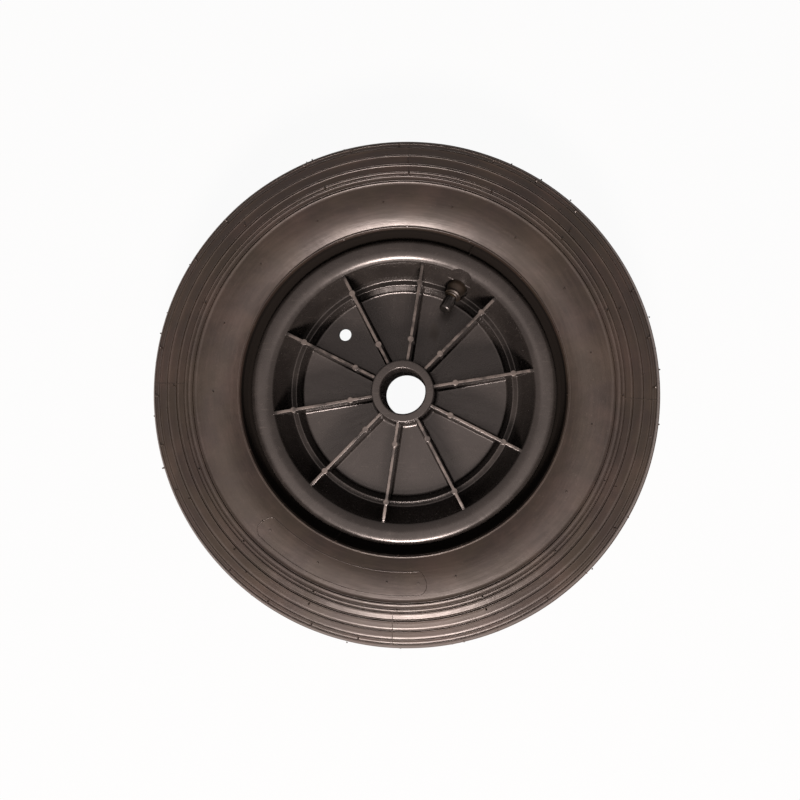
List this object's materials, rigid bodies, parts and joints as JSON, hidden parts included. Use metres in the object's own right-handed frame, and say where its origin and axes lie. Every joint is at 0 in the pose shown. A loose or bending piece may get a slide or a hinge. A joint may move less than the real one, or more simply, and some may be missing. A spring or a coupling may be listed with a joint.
{
  "type": "wheelbarrow wheel",
  "caption": "Pneumatic wheelbarrow wheel: black tyre and inner tube on a one-piece ribbed plastic rim with a plain hub bore.",
  "frame": {"origin": "centre of the wheel, on the hub bore's axis midway between the hub's end faces", "axes": "+Z along the spin axis, out of the valve side, which is the face in the picture; +X and +Y are right and up in the picture. The wheel lies on its other sidewall."},
  "size_m": [0.409, 0.409, 0.102],
  "materials": {
    "rim_plastic": "moulded black plastic, satin",
    "tyre_rubber": "moulded black rubber with a brownish bloom",
    "tube_rubber": "smooth butyl rubber",
    "valve_rubber": "smooth moulded rubber",
    "stem_brass": "turned brass",
    "seal_rubber": "small moulded seals",
    "core_steel": "plain steel",
    "cap_plastic": "moulded black plastic, glossy"
  },
  "bodies": {
    "wheel": {"rim": "rim_plastic", "tyre": "tyre_rubber", "inner_tube": "tube_rubber", "valve_rubber": "valve_rubber", "valve_stem": "stem_brass", "core_plug": "stem_brass", "core_barrel": "stem_brass", "barrel_seal": "seal_rubber", "core_spring": "core_steel"},
    "cap": {"valve_cap": "cap_plastic"},
    "pin": {"core_pin": "core_steel", "pin_seal": "seal_rubber"}
  },
  "joints": [
    {"name": "cap_off", "type": "slide", "parent": "wheel", "child": "cap", "axis": [-0.381, -0.7576, 0.5299], "range_m": [0, 0.0125]},
    {"name": "pin_press", "type": "slide", "parent": "wheel", "child": "pin", "axis": [0.381, 0.7576, -0.5299], "range_m": [0, 0.0012], "stiffness_N_per_m": 600, "deforming": ["core_spring"]}
  ]
}
